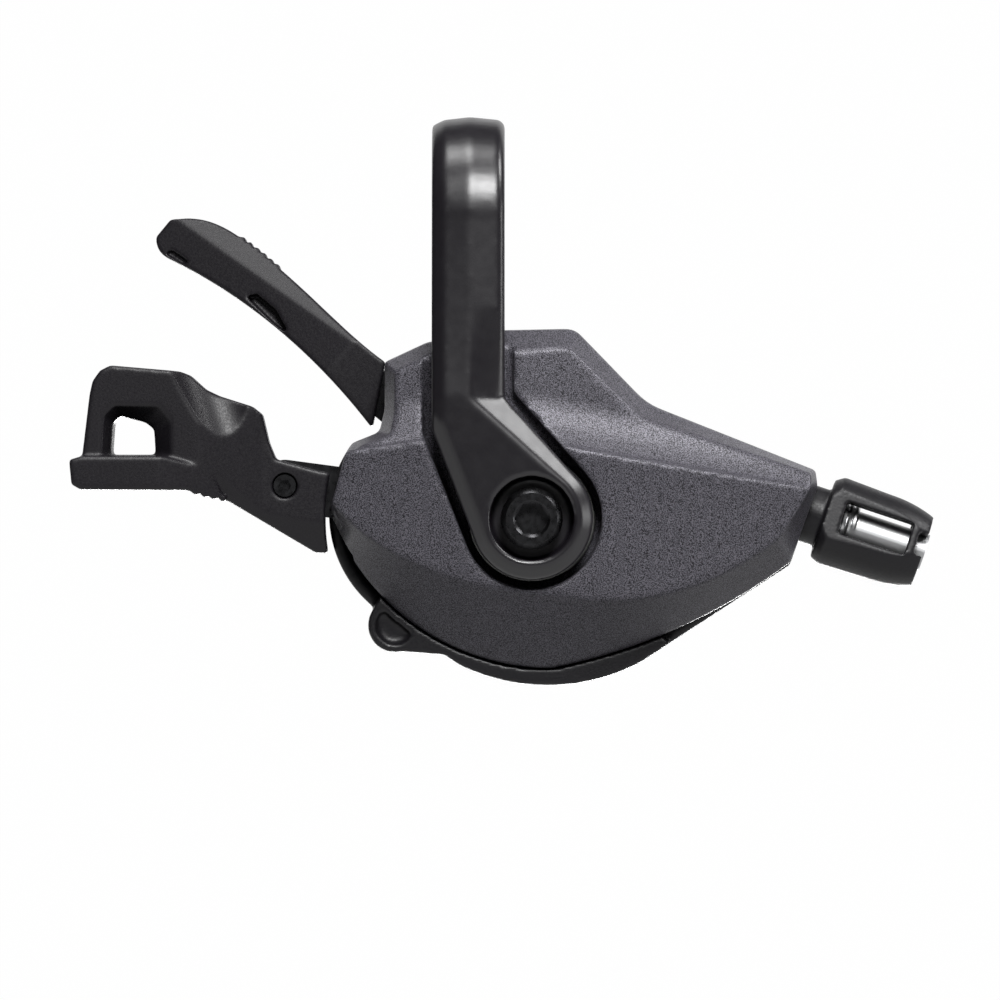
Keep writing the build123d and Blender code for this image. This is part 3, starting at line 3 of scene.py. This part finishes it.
import bmesh
import bpy
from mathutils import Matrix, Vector

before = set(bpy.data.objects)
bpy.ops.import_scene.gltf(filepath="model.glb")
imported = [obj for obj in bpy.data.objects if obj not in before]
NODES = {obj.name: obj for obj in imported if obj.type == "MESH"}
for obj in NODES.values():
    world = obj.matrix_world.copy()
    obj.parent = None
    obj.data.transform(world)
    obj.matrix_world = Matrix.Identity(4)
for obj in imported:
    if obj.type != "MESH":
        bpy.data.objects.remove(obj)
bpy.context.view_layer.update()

bl_info = {
    "name": "Trigger Gear Shifter",
    "version": (1, 0, 0),
    "blender": (4, 5, 0),
    "location": "View3D > Sidebar > Shifter",
    "description": "Finishes and stages a handlebar gear shifter on its packed frame",
    "category": "Object",
}

MM = 0.001

# Sockets of the colour form of the Mix node
MIX_FACTOR = 0
MIX_A = 6
MIX_B = 7
MIX_RESULT = 2

# Pattern sizes and reliefs of the finishes
CLOUD_SIZE = 9 * MM
PEEL_SIZE = 1.4 * MM
BLOOM_SIZE = 0.8 * MM
ROLLING_MARK = 0.15 * MM
ROLLING_STRETCH = 0.06
WIRE_MARK = 0.2 * MM
FLOW_SIZE = 4 * MM
FIBRE_SIZE = 2 * MM
FLAKE_RELIEF = 0.05 * MM
PIT_RELIEF = 0.04 * MM
SPECK_RELIEF = 0.03 * MM
RING_RELIEF = 0.02 * MM

# Length of one band of the wave texture at a scale of 1
WAVE_BAND = 0.31

# Passes that round the edges of a softened piece
MOULDING_PASSES = 6
KNOB_PASSES = 5
MAIN_CAP_PASSES = 8
RELEASE_CAP_PASSES = 12
WELD_REACH = 0.001 * MM

# Places of the softboxes about the middle of the view, in metres
LAMP_PLACES = {
    "key": (0.12, -0.7, 0.6),
    "top": (-0.05, -0.16, 0.92),
    "side": (0.62, -0.08, 0.6),
    "rim": (0.9, -0.12, 0.05),
    "back": (0.04, 0.87, -0.22),
}
SOFTBOX_SIZE = 0.32
SOFTBOX_SPREAD = math.radians(36)
ROOM_LIGHT = 0.05
VIEW_DEPTH = 20.0

# Paper sweep behind and below, in metres
SWEEP_WIDTH = 5.0
SWEEP_FRONT = -3.0
SWEEP_BACK = 2.6
SWEEP_HEIGHT = 3.0
SWEEP_RADIUS = 0.6
SWEEP_STEPS = 12

# Share of plain white that the eye sees on the paper: the rest is lit paper, which takes the shadow
FLOOR_GLOW = 0.8
WALL_GLOW = 0.995
GLOW_RISE = 0.1


def linear(hex_code):
    """Linear colour, with alpha, of an sRGB hex value."""
    channels = [int(hex_code[start:start + 2], 16) / 255 for start in (1, 3, 5)]
    curve = [c / 12.92 if c <= 0.04045 else ((c + 0.055) / 1.055) ** 2.4 for c in channels]
    return (*curve, 1.0)


def colour_property(name, description, hex_code):
    """Colour setting with an sRGB hex default."""
    return bpy.props.FloatVectorProperty(
        name=name, description=description, default=linear(hex_code), size=4, min=0.0, max=1.0,
        subtype="COLOR",
    )


def length_property(name, description, millimetres):
    """Length setting with a default in millimetres."""
    return bpy.props.FloatProperty(
        name=name, description=description, default=millimetres * MM, min=0.0, precision=5, unit="LENGTH"
    )


def power_property(name, description, watts):
    """Lamp power setting."""
    return bpy.props.FloatProperty(name=name, description=description, default=watts, min=0.0, unit="POWER")


class ShifterColours(bpy.types.PropertyGroup):
    """Colours of the finishes."""

    cover_dark: colour_property("Cover shade", "Dark side of the cover's grain", "#1f1e22")
    cover_light: colour_property("Cover light", "Light side of the cover's grain", "#6e6c74")
    housing: colour_property("Rear housing", "Black of the rear housing", "#151417")
    lever: colour_property("Levers", "Black of both levers", "#161418")
    clamp: colour_property("Clamp", "Black of the clamp band", "#141216")
    bolt: colour_property("Bolt", "Black oxide of the bolt and screws", "#4b4b4d")
    steel: colour_property("Plates", "Zinc plating of the steel plates", "#a9aaa8")
    wire: colour_property("Springs", "Drawn spring wire", "#d0d1d2")
    alloy: colour_property("Adjuster tube", "Bright turned alloy", "#c9cacb")
    drum: colour_property("Cable drum", "Natural acetal of the drum", "#d5d3ca")
    knob: colour_property("Adjuster knob", "Black of the adjuster knob", "#141316")
    floor: colour_property("Floor", "Pale studio floor", "#f6f6f7")


class ShifterSizes(bpy.types.PropertyGroup):
    """Grain and edge sizes of the finishes."""

    # Flake, pits, specks and turning marks are finer on a real shifter.
    # They are drawn as coarse as they need to be to show.
    cover_grain: length_property("Cover grain", "Width of a grain of the cover's flake", 0.13)
    lever_grain: length_property("Lever grain", "Width of a pit of the levers' satin", 0.3)
    clamp_grain: length_property("Clamp grain", "Width of a speck of the clamp's coating", 0.22)
    brush_spacing: length_property("Turning marks", "Spacing of the marks on turned metal", 0.12)
    mould_step: length_property("Moulding step", "Mesh step of the softened mouldings", 0.36)
    small_step: length_property("Small step", "Mesh step of the softened small pieces", 0.22)


class ShifterStage(bpy.types.PropertyGroup):
    """Camera, floor and light."""

    view_width: length_property("View width", "Width that the camera sees at the handlebar", 135.14)
    view_x: length_property("View centre X", "Middle of the view along the handlebar", 4.26)
    view_drop: length_property("View drop", "Middle of the view below the handlebar", 37.6)
    floor_drop: length_property("Floor drop", "Floor below the handlebar", 600.0)
    lens: bpy.props.FloatProperty(
        name="Lens", description="Focal length of the camera", default=400.0, min=20.0, unit="CAMERA"
    )
    key_power: power_property("Key light", "Power of the soft light above the camera", 0.52)
    top_power: power_property("Top light", "Power of the soft light overhead", 0.2)
    side_power: power_property("Side light", "Power of the soft light at the upper right", 0.2)
    rim_power: power_property("Rim light", "Power of the soft light at the right", 0.07)
    back_power: power_property("Back light", "Power of the soft light behind", 0.35)


def add(tree, kind, inputs=(), **settings):
    """Adds a node with its settings, and sets or links its inputs."""
    node = tree.nodes.new(kind)
    for name, value in settings.items():
        setattr(node, name, value)
    for socket, value in dict(inputs).items():
        if isinstance(value, bpy.types.NodeSocket):
            tree.links.new(value, node.inputs[socket])
        else:
            node.inputs[socket].default_value = value
    return node


def new_material(name):
    """Empty node material with object coordinates in metres."""
    material = bpy.data.materials.new(name)
    material.use_nodes = True
    tree = material.node_tree
    tree.nodes.clear()
    return material, tree, add(tree, "ShaderNodeTexCoord").outputs["Object"]


def close_material(tree, inputs):
    """Shader and output of a material."""
    shader = add(tree, "ShaderNodeBsdfPrincipled", inputs)
    add(tree, "ShaderNodeOutputMaterial", {"Surface": shader.outputs["BSDF"]})


def flaked_abs(colours, sizes):
    """Injection-moulded ABS sprayed with a dark metallic lacquer: a grey that glitters in fine specks."""
    material, tree, place = new_material("lacquered_abs_metallic_grey")
    flake = add(tree, "ShaderNodeTexNoise", {"Vector": place, "Scale": 1 / sizes.cover_grain, "Detail": 1.0})
    speck = add(tree, "ShaderNodeMapRange", {0: flake.outputs["Fac"], 1: 0.4, 2: 0.6})
    tone = add(
        tree, "ShaderNodeMix",
        {MIX_FACTOR: speck.outputs[0], MIX_A: colours.cover_dark, MIX_B: colours.cover_light},
        data_type="RGBA",
    )
    sheen = add(tree, "ShaderNodeMapRange", {0: flake.outputs["Fac"], 1: 0.3, 2: 0.7, 3: 0.42, 4: 0.32})
    bump = add(
        tree, "ShaderNodeBump", {"Height": flake.outputs["Fac"], "Strength": 0.6, "Distance": FLAKE_RELIEF}
    )
    close_material(tree, {
        "Base Color": tone.outputs[MIX_RESULT], "Roughness": sheen.outputs[0], "Normal": bump.outputs[0],
        "Metallic": 0.2, "IOR": 1.5, "Specular IOR Level": 0.25,
    })
    return material


def satin_nylon(name, colour, sizes, roughness):
    """Glass-filled nylon from a spark-eroded mould: black with a soft sheen broken by fine pits."""
    material, tree, place = new_material(name)
    pits = add(tree, "ShaderNodeTexNoise", {"Vector": place, "Scale": 1 / sizes.lever_grain, "Detail": 3.0})
    cloud = add(tree, "ShaderNodeTexNoise", {"Vector": place, "Scale": 1 / CLOUD_SIZE, "Detail": 2.0})
    worn = [min(1.0, channel * 1.35) for channel in colour[:3]]
    tone = add(
        tree, "ShaderNodeMix",
        {MIX_FACTOR: cloud.outputs["Fac"], MIX_A: colour, MIX_B: (*worn, 1.0)},
        data_type="RGBA",
    )
    sheen = add(
        tree, "ShaderNodeMapRange",
        {0: pits.outputs["Fac"], 1: 0.3, 2: 0.7, 3: roughness - 0.06, 4: roughness + 0.08},
    )
    bump = add(
        tree, "ShaderNodeBump", {"Height": pits.outputs["Fac"], "Strength": 0.5, "Distance": PIT_RELIEF}
    )
    close_material(tree, {
        "Base Color": tone.outputs[MIX_RESULT], "Roughness": sheen.outputs[0], "Normal": bump.outputs[0],
        "IOR": 1.5, "Specular IOR Level": 0.36,
    })
    return material


def coated_aluminium(colours, sizes):
    """Forged aluminium under black powder coating: satin, with a faint orange peel."""
    material, tree, place = new_material("forged_aluminium_black_coated")
    specks = add(tree, "ShaderNodeTexNoise", {"Vector": place, "Scale": 1 / sizes.clamp_grain, "Detail": 2.0})
    peel = add(tree, "ShaderNodeTexNoise", {"Vector": place, "Scale": 1 / PEEL_SIZE, "Detail": 1.0})
    sheen = add(tree, "ShaderNodeMapRange", {0: peel.outputs["Fac"], 1: 0.3, 2: 0.7, 3: 0.3, 4: 0.33})
    lifted = [min(1.0, channel * 1.6) for channel in colours.clamp[:3]]
    tone = add(
        tree, "ShaderNodeMix",
        {MIX_FACTOR: specks.outputs["Fac"], MIX_A: colours.clamp, MIX_B: (*lifted, 1.0)},
        data_type="RGBA",
    )
    bump = add(
        tree, "ShaderNodeBump", {"Height": specks.outputs["Fac"], "Strength": 0.12, "Distance": SPECK_RELIEF}
    )
    close_material(tree, {
        "Base Color": tone.outputs[MIX_RESULT], "Roughness": sheen.outputs[0], "Normal": bump.outputs[0],
        "IOR": 1.5, "Specular IOR Level": 0.65,
    })
    return material


def oxide_steel(colours):
    """Cold-headed steel with black oxide: dark, with a dull metal gleam on its edges."""
    material, tree, place = new_material("headed_steel_black_oxide")
    bloom = add(tree, "ShaderNodeTexNoise", {"Vector": place, "Scale": 1 / BLOOM_SIZE, "Detail": 3.0})
    sheen = add(tree, "ShaderNodeMapRange", {0: bloom.outputs["Fac"], 1: 0.3, 2: 0.7, 3: 0.24, 4: 0.34})
    close_material(tree, {
        "Base Color": colours.bolt, "Roughness": sheen.outputs[0], "Metallic": 1.0,
    })
    return material


def plated_steel(colours):
    """Pressed steel sheet with bright zinc: a grey metal with faint rolling marks."""
    material, tree, place = new_material("pressed_steel_zinc_plated")
    rolled = add(tree, "ShaderNodeMapping", {"Vector": place, "Scale": (ROLLING_STRETCH, 1.0, 1.0)})
    marks = add(
        tree, "ShaderNodeTexNoise", {"Vector": rolled.outputs[0], "Scale": 1 / ROLLING_MARK, "Detail": 2.0}
    )
    sheen = add(tree, "ShaderNodeMapRange", {0: marks.outputs["Fac"], 1: 0.3, 2: 0.7, 3: 0.26, 4: 0.42})
    close_material(tree, {
        "Base Color": colours.steel, "Roughness": sheen.outputs[0], "Metallic": 1.0,
    })
    return material


def spring_wire(colours):
    """Cold-drawn spring wire: a bright metal with hairline marks."""
    material, tree, place = new_material("drawn_spring_wire")
    marks = add(tree, "ShaderNodeTexNoise", {"Vector": place, "Scale": 1 / WIRE_MARK, "Detail": 2.0})
    sheen = add(tree, "ShaderNodeMapRange", {0: marks.outputs["Fac"], 1: 0.3, 2: 0.7, 3: 0.26, 4: 0.36})
    close_material(tree, {
        "Base Color": colours.wire, "Roughness": sheen.outputs[0], "Metallic": 1.0,
    })
    return material


def turned_alloy(colours, sizes):
    """Turned aluminium bar: bright, with fine rings left by the cutter."""
    material, tree, place = new_material("turned_aluminium")
    rings = add(
        tree, "ShaderNodeTexWave",
        {"Vector": place, "Scale": WAVE_BAND / sizes.brush_spacing, "Distortion": 0.6, "Detail": 1.0},
        bands_direction="X",
    )
    sheen = add(tree, "ShaderNodeMapRange", {0: rings.outputs["Fac"], 3: 0.42, 4: 0.52})
    bump = add(
        tree, "ShaderNodeBump", {"Height": rings.outputs["Fac"], "Strength": 0.1, "Distance": RING_RELIEF}
    )
    close_material(tree, {
        "Base Color": colours.alloy, "Roughness": sheen.outputs[0], "Normal": bump.outputs[0],
        "Metallic": 1.0,
    })
    return material


def moulded_acetal(colours):
    """Moulded acetal: a milky, slightly waxy plastic."""
    material, tree, place = new_material("moulded_acetal")
    flow = add(tree, "ShaderNodeTexNoise", {"Vector": place, "Scale": 1 / FLOW_SIZE, "Detail": 2.0})
    sheen = add(tree, "ShaderNodeMapRange", {0: flow.outputs["Fac"], 1: 0.3, 2: 0.7, 3: 0.28, 4: 0.38})
    close_material(tree, {
        "Base Color": colours.drum, "Roughness": sheen.outputs[0], "IOR": 1.48,
    })
    return material


def dress(material, *nodes):
    """Gives a material to CAD nodes."""
    for node in nodes:
        mesh = NODES[node].data
        mesh.materials.clear()
        mesh.materials.append(material)


def soften(node, step, passes):
    """Rounds a moulding's edges: a fine even mesh, relaxed a few times."""
    piece = NODES[node]
    weld = piece.modifiers.new("weld", "WELD")
    weld.merge_threshold = WELD_REACH
    remesh = piece.modifiers.new("even_mesh", "REMESH")
    remesh.mode = "VOXEL"
    remesh.voxel_size = step
    remesh.use_smooth_shade = True
    relax = piece.modifiers.new("edge_round", "SMOOTH")
    relax.factor = 0.5
    relax.iterations = passes


class SHIFTER_OT_cover(bpy.types.Operator):
    """Finish the front cover"""

    bl_idname = "shifter.cover"
    bl_label = "Front cover"

    def execute(self, context):
        scene = context.scene
        dress(flaked_abs(scene.shifter_colours, scene.shifter_sizes), "front_cover")
        soften("front_cover", scene.shifter_sizes.mould_step, MOULDING_PASSES)
        return {"FINISHED"}


class SHIFTER_OT_housing(bpy.types.Operator):
    """Finish the rear housing and its screws"""

    bl_idname = "shifter.housing"
    bl_label = "Rear housing"

    def execute(self, context):
        scene = context.scene
        black = satin_nylon("moulded_nylon_housing", scene.shifter_colours.housing, scene.shifter_sizes, 0.4)
        dress(black, "rear_housing")
        soften("rear_housing", scene.shifter_sizes.mould_step, MOULDING_PASSES)
        dress(oxide_steel(scene.shifter_colours), "housing_screws", "cover_screw")
        return {"FINISHED"}


class SHIFTER_OT_clamp(bpy.types.Operator):
    """Finish the clamp band and its bolt"""

    bl_idname = "shifter.clamp"
    bl_label = "Clamp"

    def execute(self, context):
        scene = context.scene
        dress(coated_aluminium(scene.shifter_colours, scene.shifter_sizes), "clamp_band")
        soften("clamp_band", scene.shifter_sizes.mould_step, MOULDING_PASSES)
        dress(oxide_steel(scene.shifter_colours), "clamp_bolt")
        return {"FINISHED"}


class SHIFTER_OT_levers(bpy.types.Operator):
    """Finish both levers with their plates and screws"""

    bl_idname = "shifter.levers"
    bl_label = "Levers"

    def execute(self, context):
        scene = context.scene
        black = satin_nylon("moulded_nylon_lever", scene.shifter_colours.lever, scene.shifter_sizes, 0.42)
        dress(black, "main_lever_cap", "release_lever_cap")
        soften("main_lever_cap", scene.shifter_sizes.small_step, MAIN_CAP_PASSES)
        soften("release_lever_cap", scene.shifter_sizes.small_step, RELEASE_CAP_PASSES)
        dress(
            oxide_steel(scene.shifter_colours), "main_lever_screw", "release_lever_screw", "main_lever_plate",
            "release_lever_plate",
        )
        return {"FINISHED"}


class SHIFTER_OT_adjuster(bpy.types.Operator):
    """Finish the cable adjuster"""

    bl_idname = "shifter.adjuster"
    bl_label = "Cable adjuster"

    def execute(self, context):
        scene = context.scene
        black = satin_nylon("moulded_nylon_knob", scene.shifter_colours.knob, scene.shifter_sizes, 0.42)
        dress(black, "adjuster_knob")
        soften("adjuster_knob", scene.shifter_sizes.small_step, KNOB_PASSES)
        dress(turned_alloy(scene.shifter_colours, scene.shifter_sizes), "adjuster_bolt")
        dress(spring_wire(scene.shifter_colours), "adjuster_spring")
        return {"FINISHED"}


class SHIFTER_OT_mechanism(bpy.types.Operator):
    """Finish the steel frame, drum, pawls and springs inside"""

    bl_idname = "shifter.mechanism"
    bl_label = "Mechanism"

    def execute(self, context):
        colours = context.scene.shifter_colours
        dress(
            plated_steel(colours), "bracket", "base_plate", "frame_posts", "axle", "axle_nut",
            "thrust_washer", "ratchet_wheel", "winding_pawl", "winding_pawl_pin", "position_pawl",
            "position_pawl_pin",
        )
        dress(
            spring_wire(colours), "drum_spring", "winding_pawl_spring", "position_pawl_spring",
            "main_lever_spring", "release_spring",
        )
        dress(moulded_acetal(colours), "cable_drum")
        return {"FINISHED"}


def studio_floor_material(colours, floor_z):
    """Seamless paper: matt and pale, with the shadow on its floor and a white wall behind."""
    material, tree, place = new_material("seamless_paper")
    fibre = add(tree, "ShaderNodeTexNoise", {"Vector": place, "Scale": 1 / FIBRE_SIZE, "Detail": 2.0})
    rough = add(tree, "ShaderNodeMapRange", {0: fibre.outputs["Fac"], 3: 0.85, 4: 0.95})
    paper = add(
        tree, "ShaderNodeBsdfPrincipled",
        {"Base Color": colours.floor, "Roughness": rough.outputs[0], "Specular IOR Level": 0.1},
    )
    glow = add(tree, "ShaderNodeEmission", {"Color": (1.0, 1.0, 1.0, 1.0), "Strength": 1.0})
    rays = add(tree, "ShaderNodeLightPath")
    seen = add(
        tree, "ShaderNodeMath", {0: rays.outputs["Is Camera Ray"], 1: rays.outputs["Is Glossy Ray"]},
        operation="MAXIMUM",
    )
    seen = add(
        tree, "ShaderNodeMath", {0: seen.outputs[0], 1: rays.outputs["Is Transmission Ray"]},
        operation="MAXIMUM",
    )
    height = add(tree, "ShaderNodeSeparateXYZ", {0: place})
    glowing = add(
        tree, "ShaderNodeMapRange",
        {0: height.outputs["Z"], 1: floor_z, 2: floor_z + GLOW_RISE, 3: FLOOR_GLOW, 4: WALL_GLOW},
    )
    share = add(
        tree, "ShaderNodeMath", {0: seen.outputs[0], 1: glowing.outputs[0]}, operation="MULTIPLY"
    )
    mixed = add(tree, "ShaderNodeMixShader", {0: share.outputs[0], 1: paper.outputs[0], 2: glow.outputs[0]})
    add(tree, "ShaderNodeOutputMaterial", {"Surface": mixed.outputs[0]})
    return material


def sweep_mesh(floor_z):
    """Paper sweep: a floor that curves up into a wall behind."""
    bend = SWEEP_BACK - SWEEP_RADIUS
    section = [(SWEEP_FRONT, floor_z), (bend, floor_z)]
    for step in range(1, SWEEP_STEPS + 1):
        turn = math.radians(90 * step / SWEEP_STEPS)
        section.append((bend + SWEEP_RADIUS * math.sin(turn), floor_z + SWEEP_RADIUS * (1 - math.cos(turn))))
    section.append((SWEEP_BACK, floor_z + SWEEP_HEIGHT))
    mesh = bmesh.new()
    rows = [[mesh.verts.new((side * SWEEP_WIDTH / 2, y, z)) for side in (-1, 1)] for y, z in section]
    for low, high in zip(rows, rows[1:]):
        mesh.faces.new((low[0], low[1], high[1], high[0])).smooth = True
    data = bpy.data.meshes.new("paper_sweep")
    mesh.to_mesh(data)
    mesh.free()
    return data


def soft_light(name, place, aim, power):
    """Square softbox with a grid that faces a point."""
    lamp = bpy.data.lights.new(name, "AREA")
    lamp.shape = "SQUARE"
    lamp.size = SOFTBOX_SIZE
    lamp.energy = power
    lamp.spread = SOFTBOX_SPREAD
    holder = bpy.data.objects.new(name, lamp)
    holder.location = place
    holder.rotation_euler = (Vector(aim) - Vector(place)).to_track_quat("-Z", "Y").to_euler()
    bpy.context.scene.collection.objects.link(holder)


class SHIFTER_OT_stage(bpy.types.Operator):
    """Set the floor, the light and the camera"""

    bl_idname = "shifter.stage"
    bl_label = "Stage"

    def execute(self, context):
        scene = context.scene
        stage = scene.shifter_stage
        centre = Vector((stage.view_x, 0.0, -stage.view_drop))
        floor = bpy.data.objects.new("paper_sweep", sweep_mesh(-stage.floor_drop))
        floor.data.materials.append(studio_floor_material(scene.shifter_colours, -stage.floor_drop))
        scene.collection.objects.link(floor)
        for name, place in LAMP_PLACES.items():
            soft_light(f"{name}_light", centre + Vector(place), centre, getattr(stage, f"{name}_power"))
        lens = bpy.data.cameras.new("photo_camera")
        lens.lens = stage.lens
        lens.clip_end = VIEW_DEPTH
        camera = bpy.data.objects.new("photo_camera", lens)
        distance = stage.view_width * stage.lens / lens.sensor_width
        camera.location = centre - Vector((0.0, distance, 0.0))
        camera.rotation_euler = (math.radians(90), 0.0, 0.0)
        scene.collection.objects.link(camera)
        scene.camera = camera
        world = bpy.data.worlds.new("studio_room")
        world.use_nodes = True
        tree = world.node_tree
        tree.nodes.clear()
        ambient = add(tree, "ShaderNodeBackground", {"Color": (1.0, 1.0, 1.0, 1.0), "Strength": ROOM_LIGHT})
        add(tree, "ShaderNodeOutputWorld", {"Surface": ambient.outputs[0]})
        scene.world = world
        scene.view_settings.view_transform = "Standard"
        return {"FINISHED"}


class SHIFTER_PT_panel(bpy.types.Panel):
    """Settings and steps of the shifter"""

    bl_idname = "SHIFTER_PT_panel"
    bl_label = "Gear shifter"
    bl_space_type = "VIEW_3D"
    bl_region_type = "UI"
    bl_category = "Shifter"

    def draw(self, context):
        scene = context.scene
        for group in (scene.shifter_colours, scene.shifter_sizes, scene.shifter_stage):
            box = self.layout.box()
            for name in group.__annotations__:
                box.prop(group, name)
        for step in STEPS:
            self.layout.operator(step.bl_idname)


STEPS = (
    SHIFTER_OT_cover, SHIFTER_OT_housing, SHIFTER_OT_clamp, SHIFTER_OT_levers, SHIFTER_OT_adjuster,
    SHIFTER_OT_mechanism, SHIFTER_OT_stage,
)
GROUPS = {
    "shifter_colours": ShifterColours,
    "shifter_sizes": ShifterSizes,
    "shifter_stage": ShifterStage,
}
CLASSES = (*GROUPS.values(), *STEPS, SHIFTER_PT_panel)


def register():
    for cls in CLASSES:
        bpy.utils.register_class(cls)
    for name, group in GROUPS.items():
        setattr(bpy.types.Scene, name, bpy.props.PointerProperty(type=group))


def unregister():
    for name in GROUPS:
        delattr(bpy.types.Scene, name)
    for cls in reversed(CLASSES):
        bpy.utils.unregister_class(cls)


def main():
    register()
    bpy.ops.shifter.cover()
    bpy.ops.shifter.housing()
    bpy.ops.shifter.clamp()
    bpy.ops.shifter.levers()
    bpy.ops.shifter.adjuster()
    bpy.ops.shifter.mechanism()
    bpy.ops.shifter.stage()


if __name__ == "__main__":
    main()
